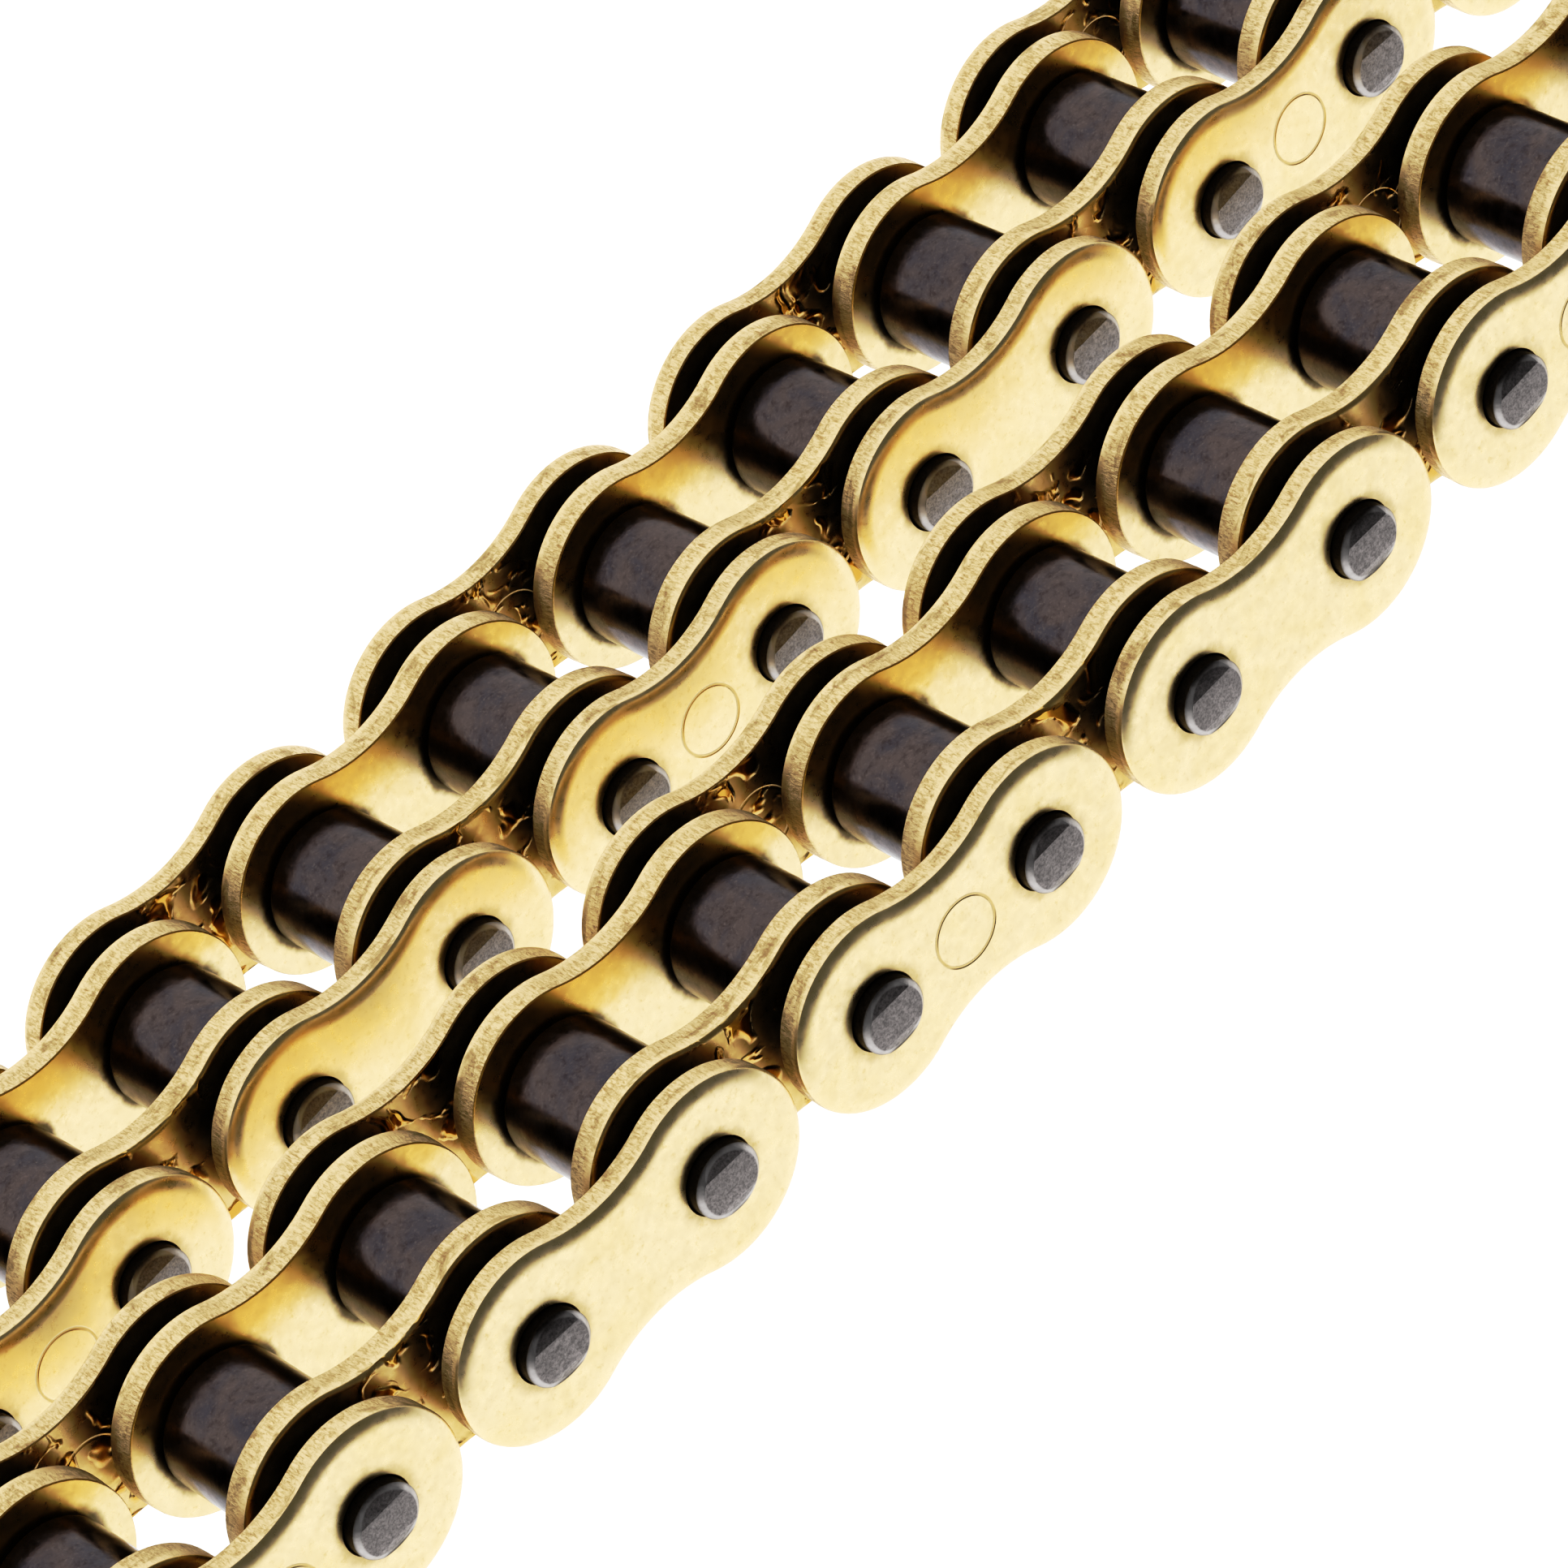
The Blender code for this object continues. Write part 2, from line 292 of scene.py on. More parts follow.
def plate_mesh(name, thickness, roll, hole, side, gap_side, seed):
    """A stamped plate. v runs from its die-rolled face at 0 to its other face at the thickness.

    side is -1 when the die-rolled face looks to -y; gap_side says which face lies against the seals.
    """
    shell = Shell()
    outline, out, along = plate_outline()
    count = len(outline)
    wobble = np.array([noise.noise(Vector((s * 0.55, seed * 3.7, 0))) for s in along])
    fine = np.array([noise.noise(Vector((s * 2.3, seed * 5.1, 4))) for s in along])
    width, depth = roll
    roll_foot = depth * (1 - math.cos(ROLL_END))
    tear = thickness * 0.42

    def band(inset, at, lean, zone, loose=0.0):
        """A ring inset from the outline at depth at, its normal leaning from the face to the edge."""
        shift = inset + 0.012 * loose * fine
        level = at + loose * 0.07 * wobble
        ring = outline - out * np.asarray(shift)[..., None]
        level = np.broadcast_to(level, count)
        points = [(p[0], v - thickness / 2, p[1]) for p, v in zip(ring, level)]
        flat = math.sin(lean)
        normals = [(n[0] * flat, -math.cos(lean), n[1] * flat) for n in out]
        track = [(s, v, 0.0) for s, v in zip(along, level)]
        return shell.ring(points, normals, zone, track)

    face_gap, back_gap = (1.0, -1.0) if gap_side == "rolled" else (0.0, 1.0)
    steps = 7
    rings = []
    for i in range(steps + 1):
        t = ROLL_END * i / steps
        inset = width * (1 - math.sin(t))
        at = depth * (1 - math.cos(t))
        lean = math.atan2(math.sin(t) / width, math.cos(t) / depth)
        rings.append(band(inset, at, lean, (0.0, 0.0, face_gap)))
    edge_foot = width * (1 - math.sin(ROLL_END))
    edge = math.pi / 2
    rings.append(None)
    rings.append(band(edge_foot, roll_foot, edge - 0.10, (1.0, 0.0, 0.0)))
    rings.append(band(0.0, roll_foot + 0.16, edge - 0.02, (1.0, 0.15, 0.0)))
    rings.append(band(0.0, tear, edge, (1.0, 0.35, 0.0), 0.6))
    rings.append(band(0.02, tear + 0.12, edge + 0.05, (1.0, 0.5, 0.0), 1.0))
    rings.append(band(0.035, thickness * 0.75, edge + 0.04, (1.0, 0.8, 0.0), 1.0))
    rings.append(band(0.06, thickness - 0.1, edge + 0.1, (1.0, 0.97, 0.0), 0.4))
    rings.append(None)
    rings.append(band(0.06, thickness - 0.1, edge + 0.5, (0.6, 1.0, back_gap)))
    rings.append(band(PLAIN_RIM, thickness, edge + 1.2, (0.2, 1.0, back_gap)))
    for first, second in zip(rings, rings[1:]):
        if first is not None and second is not None:
            shell.bridge(first, second, count)

    holes = []
    for x in (-PITCH / 2, PITCH / 2):
        angles = np.linspace(0, math.tau, HOLE_POINTS, endpoint=False)
        holes.append(np.c_[x + np.cos(angles), np.sin(angles)])
        spokes = [(-math.cos(a), 0.0, -math.sin(a)) for a in angles]
        lip = [(0.5 * s[0], -0.85, 0.5 * s[2]) for s in spokes]
        dip = [(0.85 * s[0], -0.5, 0.85 * s[2]) for s in spokes]

        def hole_ring(radius, v):
            return [(x + radius * math.cos(a), v - thickness / 2, radius * math.sin(a)) for a in angles]

        chamfered = hole + HOLE_CHAMFER
        bore = [
            shell.ring(hole_ring(chamfered, 0.0), lip, (0.0, 0.0, face_gap)),
            shell.ring(hole_ring(hole, HOLE_CHAMFER), dip, (0.0, 0.0, 1.0)),
            shell.ring(hole_ring(hole, HOLE_CHAMFER), spokes, (0.0, 0.0, 1.0)),
            shell.ring(hole_ring(hole, thickness), spokes, (0.0, 0.0, 1.0)),
        ]
        shell.bridge(bore[0], bore[1], len(angles))
        shell.bridge(bore[2], bore[3], len(angles))

    def scaled(radius):
        return [np.mean(h, axis=0) + (h - np.mean(h, axis=0)) * radius for h in holes]

    rolled_rim = outline - out * width
    plain_rim = outline - out * PLAIN_RIM
    cap(shell, rolled_rim, scaled(hole + HOLE_CHAMFER), -thickness / 2, -1, (0.0, 0.0, face_gap), (0, 0, 0))
    cap(shell, plain_rim, scaled(hole), thickness / 2, 1, (0.0, 1.0, back_gap), (0, thickness, 0))
    return shell.mesh(name, flip=side > 0)


def lathe(name, profile, closed, segments=72):
    """A profile of (radius, y) points turned about the y axis, shaded smooth with sharp corners kept."""
    turned = bmesh.new()
    rings = []
    angles = [math.tau * i / segments for i in range(segments)]
    for radius, y in profile:
        spots = [(radius * math.cos(a) * MM, y * MM, radius * math.sin(a) * MM) for a in angles]
        rings.append([turned.verts.new(spot) for spot in spots])
    pairs = list(zip(rings, rings[1:]))
    if closed:
        pairs.append((rings[-1], rings[0]))
    for first, second in pairs:
        for i in range(segments):
            after = (i + 1) % segments
            corners = [first[i], first[after], second[after], second[i]]
            turned.faces.new(corners).smooth = True
    bmesh.ops.recalc_face_normals(turned, faces=turned.faces)
    mesh = bpy.data.meshes.new(name)
    turned.to_mesh(mesh)
    turned.free()
    return noted(mesh)


def noted(mesh):
    """Gives a mesh its own coordinates in millimetres as notes, and keeps its sharp corners."""
    mesh.set_sharp_from_angle(angle=SHARP_ANGLE)
    places = np.zeros(len(mesh.vertices) * 3, np.float32)
    mesh.vertices.foreach_get("co", places)
    note(mesh, "local", places / MM)
    return mesh


def rounded(radius, end, size, way, steps=5):
    """Profile points round the corner where a cylinder of this radius meets its end face."""
    points = []
    for i in range(steps + 1):
        t = math.pi / 2 * i / steps
        points.append((radius - size + size * math.cos(t), way * (end - size + size * math.sin(t))))
    return points


def roller_mesh():
    end = INNER_FACE - PLAY
    upper = rounded(ROLLER_RADIUS, end, ROLLER_ROUND, 1)
    lower = list(reversed(rounded(ROLLER_RADIUS, end, ROLLER_ROUND, -1)))
    body = [(ROLLER_RADIUS, -end + 0.4), (ROLLER_RADIUS, end - 0.4)]
    bore = BUSH_RADIUS + PLAY
    mouth = bore + ROLLER_CHAMFER
    inside = [(mouth, end), (bore, end - ROLLER_CHAMFER), (bore, ROLLER_CHAMFER - end), (mouth, -end)]
    return lathe("roller", lower + body + upper + inside, closed=True, segments=96)


def bush_mesh():
    end = INNER_FACE + INNER_PLATE
    bore = PIN_RADIUS + 0.1
    outer = BUSH_RADIUS
    return lathe("bush", [(outer, -end), (outer, end), (bore, end), (bore, -end)], closed=True)


def seal_mesh(middle):
    """A ring with a rounded ridge at each of its four corners, like a squeezed X."""
    half = SEAL_GAP / 2
    across = (SEAL_OUTER_RADIUS - PIN_RADIUS - PLAY) / 2
    centre = SEAL_OUTER_RADIUS - across
    profile = []
    for i in range(32):
        angle = math.tau * i / 32
        reach = 1.0 + 0.13 * math.cos(4 * angle + math.pi)
        square = 1.0 / max(abs(math.cos(angle)), abs(math.sin(angle))) ** 0.72
        profile.append(
            (
                centre + across * 0.9 * reach * square * math.cos(angle),
                middle + half * 0.78 * reach * square * math.sin(angle),
            )
        )
    return lathe("seal_ring", profile, closed=True, segments=64)


def pin_mesh(seed):
    """A pin whose two ends are chamfered and staked: a flat band between two sloping facets."""
    chance = random.Random(seed)
    inset, depth = END_CHAMFER
    end = PIN_END
    shoulder = end - depth
    profile = [
        (PIN_RADIUS - inset, -end),
        (PIN_RADIUS, -shoulder),
        (PIN_RADIUS, 0.3 - shoulder),
        (PIN_RADIUS, shoulder - 0.3),
        (PIN_RADIUS, shoulder),
        (PIN_RADIUS - inset, end),
    ]
    shape = bmesh.new()
    rings = []
    angles = [math.tau * i / PIN_SEGMENTS for i in range(PIN_SEGMENTS)]
    for radius, y in profile:
        rings.append([shape.verts.new((radius * math.cos(a), y, radius * math.sin(a))) for a in angles])
    for first, second in zip(rings, rings[1:]):
        for i in range(PIN_SEGMENTS):
            after = (i + 1) % PIN_SEGMENTS
            shape.faces.new((first[i], first[after], second[after], second[i]))
    shape.faces.new(rings[0])
    shape.faces.new(rings[-1])
    bmesh.ops.recalc_face_normals(shape, faces=shape.faces)
    for way in (-1, 1):
        skew = math.radians(chance.uniform(-SKEW_SPREAD, SKEW_SPREAD))
        for up in (-1, 1):
            width = STAKE_HALF_WIDTH + chance.uniform(-WIDTH_SPREAD, WIDTH_SPREAD)
            slope = STAKE_SLOPE + math.radians(chance.uniform(-SLOPE_SPREAD, SLOPE_SPREAD))
            outward = Vector((0, way * math.cos(slope), up * math.sin(slope)))
            outward.rotate(Matrix.Rotation(skew, 3, "Y"))
            spot = Matrix.Rotation(skew, 3, "Y") @ Vector((0, way * end, up * width))
            cut = bmesh.ops.bisect_plane(
                shape,
                geom=list(shape.verts) + list(shape.edges) + list(shape.faces),
                plane_co=spot,
                plane_no=outward,
                clear_outer=True,
                dist=1e-5,
            )
            rim = [item for item in cut["geom_cut"] if isinstance(item, bmesh.types.BMEdge)]
            bmesh.ops.edgeloop_fill(shape, edges=rim)
    bmesh.ops.recalc_face_normals(shape, faces=shape.faces)
    corners = [
        edge
        for edge in shape.edges
        if len(edge.link_faces) == 2 and edge.calc_face_angle() > STAKE_CORNER
    ]
    bmesh.ops.bevel(
        shape, geom=corners, offset=CORNER_BEVEL, segments=2, profile=0.6, affect="EDGES", clamp_overlap=True
    )
    for face in shape.faces:
        face.smooth = abs(face.normal.y) < 0.4 or face.calc_area() < 0.05
    for vertex in shape.verts:
        vertex.co *= MM
    mesh = bpy.data.meshes.new("pin")
    shape.to_mesh(mesh)
    shape.free()
    return noted(mesh)


# ---------------------------------------------------------------- finishes


class Finish:
    """A node material, with short calls for the nodes that the finishes use."""

    def __init__(self, name, metallic, roughness):
        self.material = bpy.data.materials.new(name)
        self.material.use_nodes = True
        self.tree = self.material.node_tree
        self.shader = self.tree.nodes["Principled BSDF"]
        self.shader.inputs["Metallic"].default_value = metallic
        self.shader.inputs["Roughness"].default_value = roughness

    def node(self, kind, inputs=(), **settings):
        made = self.tree.nodes.new(kind)
        for key, value in settings.items():
            setattr(made, key, value)
        for key, value in dict(inputs).items():
            if isinstance(value, bpy.types.NodeSocket):
                self.tree.links.new(value, made.inputs[key])
            else:
                made.inputs[key].default_value = value
        return made

    def read(self, name):
        return self.node("ShaderNodeAttribute", attribute_name=name, attribute_type="GEOMETRY")

    def maths(self, operation, a, b=0.0, c=0.0):
        made = self.node("ShaderNodeMath", {0: a, 1: b, 2: c}, operation=operation)
        return made.outputs[0]

    def vector(self, operation, a, b=(0, 0, 0)):
        made = self.node("ShaderNodeVectorMath", {0: a, 1: b}, operation=operation)
        return made.outputs[0]

    def noise(self, where, scale, detail=3.0, roughness=0.55, distortion=0.0):
        inputs = {
            "Vector": where,
            "Scale": scale,
            "Detail": detail,
            "Roughness": roughness,
            "Distortion": distortion,
        }
        return self.node("ShaderNodeTexNoise", inputs).outputs["Fac"]

    def ease(self, value, low, high, start=0.0, end=1.0):
        """value from low to high becomes start to end, eased at both ends."""
        inputs = {"Value": value, "From Min": low, "From Max": high, "To Min": start, "To Max": end}
        return self.node("ShaderNodeMapRange", inputs, interpolation_type="SMOOTHSTEP").outputs["Result"]

    def mix(self, factor, a, b, blend="MIX"):
        made = self.node("ShaderNodeMix", data_type="RGBA", blend_type=blend)
        for socket, value in ((made.inputs[0], factor), (made.inputs[6], a), (made.inputs[7], b)):
            if isinstance(value, bpy.types.NodeSocket):
                self.tree.links.new(value, socket)
            elif socket == made.inputs[0]:
                socket.default_value = value
            else:
                socket.default_value = (*value, 1.0)
        return made.outputs[2]

    def blend(self, factor, a, b):
        """A number between a and b."""
        return self.node("ShaderNodeMix", {0: factor, 2: a, 3: b}, data_type="FLOAT").outputs[0]

    def bump(self, height, strength, distance, under=None):
        inputs = {"Height": height, "Strength": strength, "Distance": distance * MM}
        if under is not None:
            inputs["Normal"] = under
        return self.node("ShaderNodeBump", inputs).outputs["Normal"]

    def use(self, **sockets):
        for key, value in sockets.items():
            self.tree.links.new(value, self.shader.inputs[key.replace("_", " ")])

    def grain(self):
        """Millimetre coordinates, moved by the piece's own number so that no two pieces match."""
        seed = self.read("seed").outputs["Vector"]
        return self.vector("ADD", self.read("local").outputs["Vector"], seed)


def gold_plate():
    gold = Finish("gold_plate", 1.0, 0.3)
    grain = gold.grain()
    local = gold.read("local").outputs["Vector"]
    zone = gold.node("ShaderNodeSeparateXYZ", {0: gold.read("zone").outputs["Vector"]})
    edge, across, gap = zone.outputs

    # Rolled faces: pale plating with fine ochre specks and broad clouding
    specks = gold.ease(gold.noise(grain, 1.9, 6.0, 0.72), 0.52, 0.74)
    clouds = gold.ease(gold.noise(grain, 0.23, 4.0, 0.6, 0.8), 0.35, 0.75)
    face = gold.mix(gold.maths("MULTIPLY", specks, 0.6), PALE_GOLD, OCHRE_SPECK)
    face = gold.mix(gold.maths("MULTIPLY", clouds, 0.4), face, DEEP_GOLD)

    # A plain ring stamped on some outer plates
    place = gold.node("ShaderNodeSeparateXYZ", {0: local})
    across_x = gold.maths("POWER", place.outputs[0], 2.0)
    across_z = gold.maths("POWER", place.outputs[2], 2.0)
    from_middle = gold.maths("SQRT", gold.maths("ADD", across_x, across_z))
    off_ring = gold.maths("SUBTRACT", from_middle, STAMP_RADIUS)
    line = gold.ease(gold.maths("ABSOLUTE", off_ring), 0.04, STAMP_LINE, 1.0, 0.0)
    marked = gold.node("ShaderNodeSeparateXYZ", {0: gold.read("mark").outputs["Vector"]}).outputs[0]
    stamp = gold.maths("MULTIPLY", line, marked)
    face = gold.mix(gold.maths("MULTIPLY", stamp, 0.6), face, STAMP_GROOVE)

    # Painted contact shadow, with grime, round each pin hole
    x = gold.maths("SUBTRACT", gold.maths("ABSOLUTE", place.outputs[0]), PITCH / 2)
    reach = gold.maths("SQRT", gold.maths("ADD", gold.maths("MULTIPLY", x, x), across_z))
    uneven = gold.maths("MULTIPLY_ADD", gold.noise(grain, 0.9, 4.0), -1.2, reach)
    pin_shadow_and_stain = gold.ease(uneven, PIN_RADIUS - 0.5, PIN_RADIUS + 0.6, 0.55, 0.0)
    face = gold.mix(pin_shadow_and_stain, face, PIN_SHADOW_AND_STAIN)

    # Sheared edge: burnished next to the rim, then torn across the grain
    track = gold.vector("ADD", gold.read("track").outputs["Vector"], gold.read("seed").outputs["Vector"])
    streaks = gold.noise(gold.vector("MULTIPLY", track, (5.5, 1.6, 1.0)), 1.0, 6.0, 0.72, 0.8)
    chips = gold.noise(gold.vector("MULTIPLY", track, (1.5, 1.1, 1.0)), 1.0, 5.0, 0.75, 0.6)
    torn = gold.ease(across, 0.12, 0.42)
    depth = gold.ease(torn, 0.0, 1.0, 0.25, 0.8)
    dark_streak = gold.maths("MULTIPLY", gold.ease(streaks, 0.42, 0.68), depth)
    sheared = gold.mix(dark_streak, BRIGHT_SHEAR, DARK_STREAK)
    sheared = gold.mix(gold.ease(chips, 0.60, 0.74, 0.0, 0.75), sheared, CHIP)
    dirt = gold.noise(gold.vector("MULTIPLY", track, (0.3, 0.7, 1.0)), 1.0, 5.0, 0.7, 0.5)
    sheared = gold.mix(gold.ease(dirt, 0.52, 0.68, 0.0, 0.7), sheared, EDGE_DIRT)
    colour = gold.mix(edge, face, sheared)

    # Painted contact shade, with burnt-on oil, on the inner plates round each roller
    against_roller = gold.maths("MULTIPLY", gap, -1.0)
    roller_shade_reach = gold.maths("MULTIPLY_ADD", gold.noise(grain, 0.6, 3.0), -0.9, reach)
    ring = gold.ease(roller_shade_reach, ROLLER_RADIUS - 0.4, ROLLER_RADIUS + 0.35, 0.9, 0.0)
    roller_shade_and_oil = gold.maths("MAXIMUM", gold.maths("MULTIPLY", ring, against_roller), 0.0)
    colour = gold.mix(roller_shade_and_oil, colour, ROLLER_SHADE_AND_OIL)

    # Painted amber reflection, stronger towards the top of the same faces
    reflection_height = gold.maths("MULTIPLY_ADD", gold.noise(grain, 0.45, 4.0, 0.6, 0.6), 3.0, place.outputs[2])
    amber_reflection = gold.maths("MULTIPLY", gold.ease(reflection_height, 2.6, 6.0, 0.0, 0.75), against_roller)
    colour = gold.mix(gold.maths("MAXIMUM", amber_reflection, 0.0), colour, AMBER_REFLECTION)

    # Painted shade with old grease on the faces against the seals, darkest near the pins and amber towards
    # the rim
    clear = gold.ease(uneven, PLATE_RADIUS - 2.2, PLATE_RADIUS + 0.6, 0.92, 0.5)
    thickness = gold.ease(gold.noise(grain, 0.5, 4.0), 0.3, 0.65, 0.7, 1.0)
    against_seal = gold.maths("MAXIMUM", gap, 0.0)
    gap_shade_and_grease = gold.maths("MULTIPLY", against_seal, gold.maths("MULTIPLY", clear, thickness))
    outlying = gold.ease(uneven, PLATE_RADIUS - 2.6, PLATE_RADIUS - 0.2)
    gap_shade_colour = gold.mix(outlying, DARK_GAP_SHADE_AND_GREASE, AMBER_GAP_SHADE_AND_GREASE)
    colour = gold.mix(gap_shade_and_grease, colour, gap_shade_colour)

    # Wet amber grease in patches towards the waist of the same faces
    patches = gold.ease(gold.noise(grain, 0.42, 2.0, 0.45, 0.6), 0.52, 0.66)
    waist = gold.ease(gold.maths("ABSOLUTE", place.outputs[0]), 4.6, 2.6)
    wet = gold.maths("MULTIPLY", gold.maths("MULTIPLY", patches, waist), against_seal)
    colour = gold.mix(gold.maths("MULTIPLY", wet, 0.85), colour, WET_GREASE)

    rough_face = gold.ease(gold.noise(grain, 1.3, 5.0, 0.65), 0.3, 0.7, 0.26, 0.38)
    rough_edge = gold.ease(streaks, 0.3, 0.7, 0.36, 0.55)
    rough = gold.blend(edge, rough_face, rough_edge)
    rough = gold.blend(wet, rough, 0.12)

    pits = gold.noise(grain, 4.5, 2.0, 0.5)
    waves = gold.noise(grain, 0.55, 2.0, 0.5)
    normal = gold.bump(waves, 0.12, 0.12)
    normal = gold.bump(pits, 0.12, 0.01, normal)
    tearing = gold.maths("MULTIPLY", gold.maths("ADD", streaks, chips), gold.maths("MULTIPLY", edge, torn))
    normal = gold.bump(tearing, 0.8, 0.10, normal)
    normal = gold.bump(gold.maths("MULTIPLY", stamp, -1.0), 0.6, 0.12, normal)
    normal = gold.bump(wet, 0.5, 0.25, normal)
    gold.use(Base_Color=colour, Roughness=rough, Normal=normal)
    return gold.material


def black_oxide():
    black = Finish("black_oxide", 1.0, 0.4)
    grain = black.grain()
    place = black.node("ShaderNodeSeparateXYZ", {0: black.read("local").outputs["Vector"]})
    along = black.maths("ABSOLUTE", place.outputs[1])
    specks = black.noise(grain, 5.0, 5.0, 0.75)
    tip = black.ease(along, PIN_END - 0.45, PIN_END - 0.2)
    struck = black.mix(black.ease(specks, 0.35, 0.7), *STRUCK_STEEL)
    side = black.mix(black.ease(specks, 0.4, 0.7), *BLACK_STEEL)
    across_x = black.maths("POWER", place.outputs[0], 2.0)
    across_z = black.maths("POWER", place.outputs[2], 2.0)
    reach = black.maths("SQRT", black.maths("ADD", across_x, across_z))
    # Painted highlight: a bright ring round the chamfer rim of each pin end
    chamfer_highlight = black.maths("MULTIPLY", black.ease(reach, PIN_RADIUS - 0.5, PIN_RADIUS - 0.32), tip)
    colour = black.mix(tip, side, struck)
    colour = black.mix(black.maths("MULTIPLY", chamfer_highlight, 0.8), colour, CHAMFER_HIGHLIGHT)
    rough = black.ease(black.noise(grain, 2.0, 4.0), 0.3, 0.7, 0.34, 0.5)
    normal = black.bump(specks, 0.4, 0.04)
    black.use(Base_Color=colour, Roughness=rough, Normal=normal)
    return black.material


def dark_roller():
    dark = Finish("dark_roller", 1.0, 0.35)
    grain = dark.grain()
    rings = dark.vector("MULTIPLY", grain, (0.35, 3.0, 0.35))
    turning = dark.noise(rings, 1.0, 5.0, 0.6)
    specks = dark.noise(grain, 4.0, 5.0, 0.75)
    heat = dark.ease(dark.noise(grain, 0.35, 3.0, 0.5, 0.5), 0.35, 0.7)
    colour = dark.mix(heat, BROWN_ROLLER, BLUE_ROLLER)
    worn = dark.ease(dark.noise(grain, 1.4, 6.0, 0.7, 0.4), 0.45, 0.72, 0.0, 0.7)
    colour = dark.mix(worn, colour, WORN_ROLLER)
    colour = dark.mix(dark.ease(specks, 0.5, 0.75, 0.0, 0.55), colour, ROLLER_SPECK)
    rough = dark.ease(dark.noise(grain, 1.1, 4.0), 0.3, 0.7, 0.12, 0.26)
    normal = dark.bump(turning, 0.25, 0.02)
    normal = dark.bump(specks, 0.3, 0.02, normal)
    dark.use(Base_Color=colour, Roughness=rough, Normal=normal)
    return dark.material


def seal_rubber():
    rubber = Finish("seal_rubber", 0.0, 0.5)
    grain = rubber.grain()
    dust = rubber.noise(grain, 1.5, 5.0, 0.65)
    colour = rubber.mix(rubber.ease(dust, 0.5, 0.75), RUBBER, RUBBER_DUST)
    rough = rubber.ease(dust, 0.3, 0.7, 0.35, 0.6)
    rubber.use(Base_Color=colour, Roughness=rough, Normal=rubber.bump(dust, 0.3, 0.05))
    return rubber.material


# ---------------------------------------------------------------- assembly


def link_places(frame):
    """Each link's middle and each pin axis as a matrix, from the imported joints."""
    links = {}
    axes = {}
    for run in ("near", "far"):
        hinges = {}
        for joint in frame["joints"]:
            if joint["name"].startswith(f"{run}_joint_"):
                hinges[int(joint["name"][-2:])] = Vector(joint["pos_m"])
        first = min(hinges)
        last = max(hinges)
        step = (hinges[last] - hinges[first]) / (last - first)
        start = hinges[first] - step * (first - 1)
        turn = Matrix.Rotation(math.atan2(step.y, step.x), 4, "Z")
        for number in range(1, last + 1):
            links[run, number] = Matrix.Translation(start + step * (number - 0.5)) @ turn
        for number in range(1, last + 2):
            axes[run, number] = Matrix.Translation(start + step * (number - 1)) @ turn
    return links, axes


def along_y(y):
    return Matrix.Translation((0, y * MM, 0))


def along_x(x):
    return Matrix.Translation((x * MM, 0, 0))


class Chain:
    """Puts pieces on the frame's bodies and lets them stand for its nodes."""

    def __init__(self, frame):
        self.members = frame["record"]["behaviour"]["bodies"]
        self.finishes = {
            "gold_plate": gold_plate(),
            "black_oxide": black_oxide(),
            "dark_roller": dark_roller(),
            "seal_rubber": seal_rubber(),
        }
        self.count = 0

    def add(self, name, mesh, place, body, finish, mark=0.0):
        self.count += 1
        chance = random.Random(self.count)
        seed = [chance.uniform(-40, 40) for _ in range(3)]
        note(mesh, "seed", [seed] * len(mesh.vertices))
        note(mesh, "mark", [(mark, 0.0, 0.0)] * len(mesh.vertices))
        piece = bpy.data.objects.new(name, mesh)
        bpy.context.scene.collection.objects.link(piece)
        piece.matrix_world = place
        mesh.materials.append(self.finishes[finish])
        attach(piece, body)
        # A piece stands for the node of its own name. In a joined link, every piece stands for the one node.
        plain = name.removeprefix("look_")
        nodes = self.members[body]
        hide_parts(*([plain] if plain in nodes else nodes if len(nodes) == 1 else []))
        return piece


def build_pin_link(chain, run, number, place, seals):
    body = f"{run}_link_{number:02d}"
    stem = f"look_{run}_pin_link_{number:02d}"
    for side, label in ((-1, "front"), (1, "back")):
        seed = chain.count + 1
        mesh = plate_mesh("outer_plate", OUTER_PLATE, OUTER_ROLL, PIN_RADIUS + 0.03, side, "plain", seed)
        where = place @ along_y(side * OUTER_MIDDLE)
        chain.add(f"{stem}_{label}_plate", mesh, where, body, "gold_plate", mark=float(number % 4 == 2))
        for end, which in ((-1, "left"), (1, "right")):
            where = place @ along_x(end * PITCH / 2)
            name = f"{stem}_{label}_{which}_seal_ring"
            chain.add(name, seals[side].copy(), where, body, "seal_rubber")
    for end, which in ((-1, "left"), (1, "right")):
        mesh = pin_mesh(chain.count + 1)
        chain.add(f"{stem}_{which}_pin", mesh, place @ along_x(end * PITCH / 2), body, "black_oxide")


def build_roller_link(chain, run, number, place, bush):
    body = f"{run}_link_{number:02d}"
    stem = f"look_{run}_roller_link_{number:02d}"
    for side, label in ((-1, "front"), (1, "back")):
        seed = chain.count + 1
        mesh = plate_mesh("inner_plate", INNER_PLATE, INNER_ROLL, BUSH_RADIUS, side, "rolled", seed)
        chain.add(f"{stem}_{label}_plate", mesh, place @ along_y(side * INNER_MIDDLE), body, "gold_plate")
    for end, which in ((-1, "left"), (1, "right")):
        where = place @ along_x(end * PITCH / 2)
        chain.add(f"{stem}_{which}_bush", bush.copy(), where, body, "black_oxide")


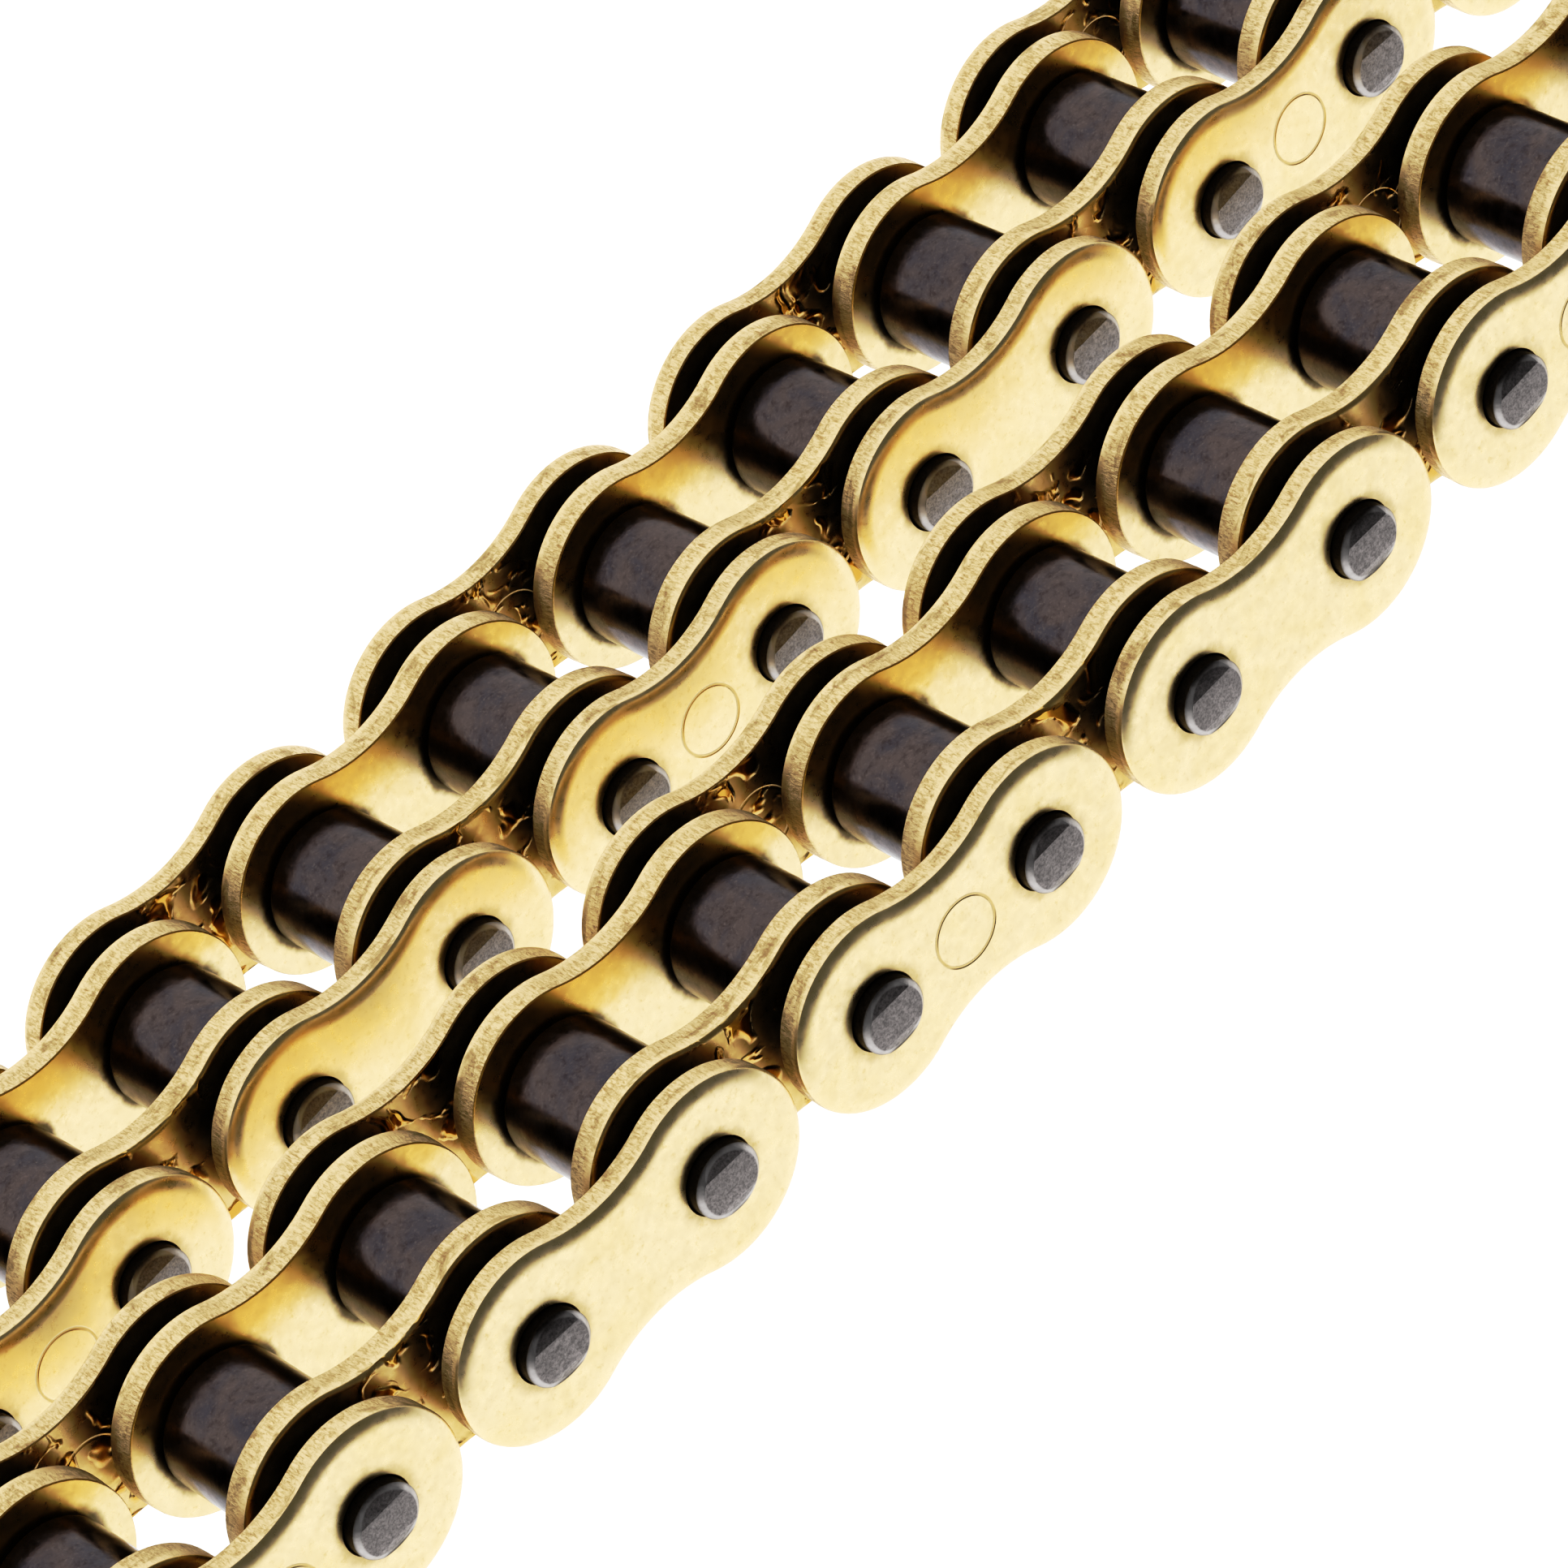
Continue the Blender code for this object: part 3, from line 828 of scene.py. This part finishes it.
def build_chain(frame):
    links, axes = link_places(frame)
    chain = Chain(frame)
    bush = bush_mesh()
    roller = roller_mesh()
    seals = {side: seal_mesh(side * SEAL_MIDDLE) for side in (-1, 1)}
    for (run, number), place in links.items():
        if number % 2 == 0:
            build_pin_link(chain, run, number, place, seals)
        else:
            build_roller_link(chain, run, number, place, bush)
    for (run, number), place in axes.items():
        body = f"{run}_roller_{number:02d}"
        if body in chain.members:
            spun = place @ Matrix.Rotation(number * ROLLER_TURN, 4, "Y")
            chain.add(f"look_{body}", roller.copy(), spun, body, "dark_roller")
    return links


# ---------------------------------------------------------------- studio


def build_floor():
    """A plain pale table top, far enough below for the links to swing down."""
    bpy.ops.mesh.primitive_plane_add(size=1)
    floor = bpy.context.object
    floor.name = "floor"
    floor.scale = (FLOOR_SIZE, FLOOR_SIZE, 1)
    floor.location = (FLOOR_MIDDLE, FLOOR_SIZE / 2 - FLOOR_FRONT, -FLOOR_DROP)
    white = Finish("floor_white", 0.0, 0.9)
    white.shader.inputs["Base Color"].default_value = FLOOR_COLOUR
    white.shader.inputs["Emission Color"].default_value = WHITE
    white.shader.inputs["Emission Strength"].default_value = FLOOR_GLOW
    floor.data.materials.append(white.material)


def build_world():
    """White sweep behind and above, and a dim room on the camera's side; the camera itself sees white."""
    world = bpy.data.worlds.new("studio")
    bpy.context.scene.world = world
    world.use_nodes = True
    nodes = world.node_tree.nodes
    links = world.node_tree.links
    nodes.clear()
    direction = nodes.new("ShaderNodeTexCoord")
    split = nodes.new("ShaderNodeSeparateXYZ")
    links.new(direction.outputs["Generated"], split.inputs[0])

    def ease(value, low, high):
        step = nodes.new("ShaderNodeMapRange")
        step.interpolation_type = "SMOOTHSTEP"
        links.new(value, step.inputs["Value"])
        step.inputs["From Min"].default_value = low
        step.inputs["From Max"].default_value = high
        return step.outputs["Result"]

    front = ease(split.outputs[1], -0.02, -0.32)
    above = ease(split.outputs[2], -0.60, -0.42)
    dark = nodes.new("ShaderNodeMath")
    dark.operation = "MULTIPLY"
    links.new(front, dark.inputs[0])
    links.new(above, dark.inputs[1])
    tone = nodes.new("ShaderNodeMix")
    tone.data_type = "RGBA"
    tone.inputs[6].default_value = WHITE
    tone.inputs[7].default_value = ROOM
    links.new(dark.outputs[0], tone.inputs[0])
    room = nodes.new("ShaderNodeBackground")
    links.new(tone.outputs[2], room.inputs["Color"])
    plain = nodes.new("ShaderNodeBackground")
    plain.inputs["Color"].default_value = WHITE
    seen = nodes.new("ShaderNodeLightPath")
    choose = nodes.new("ShaderNodeMixShader")
    links.new(seen.outputs["Is Camera Ray"], choose.inputs[0])
    links.new(room.outputs[0], choose.inputs[1])
    links.new(plain.outputs[0], choose.inputs[2])
    out = nodes.new("ShaderNodeOutputWorld")
    links.new(choose.outputs[0], out.inputs["Surface"])


def build_camera(links):
    """The camera looks along the azimuth from +Y towards +X, down by the elevation, and is rolled."""
    lens = bpy.data.cameras.new("camera")
    lens.lens = LENS
    lens.sensor_width = 36
    lens.clip_start = 0.01
    camera = bpy.data.objects.new("camera", lens)
    bpy.context.scene.collection.objects.link(camera)
    target = links["near", 6].translation + Vector(VIEW_TARGET) * MM
    flat = Vector((math.sin(VIEW_AZIMUTH), math.cos(VIEW_AZIMUTH), 0))
    look = flat * math.cos(VIEW_ELEVATION) - Vector((0, 0, math.sin(VIEW_ELEVATION)))
    level = look.cross(Vector((0, 0, 1))).normalized()
    upright = level.cross(look)
    right = level * math.cos(VIEW_ROLL) - upright * math.sin(VIEW_ROLL)
    up = right.cross(look)
    turn = Matrix((right, up, -look)).transposed()
    camera.matrix_world = Matrix.Translation(target - look * VIEW_DISTANCE * MM) @ turn.to_4x4()
    bpy.context.scene.camera = camera


def set_tone():
    """A contrasty print: deeper shadows and lighter mid-tones, with white kept white."""
    view = bpy.context.scene.view_settings
    view.view_transform = "Standard"
    view.use_curve_mapping = True
    curve = view.curve_mapping.curves[3]
    for level, shown in TONE:
        curve.points.new(level, shown)
    view.curve_mapping.update()


def main():
    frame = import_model()
    links = build_chain(frame)
    build_floor()
    build_world()
    build_camera(links)
    set_tone()


main()
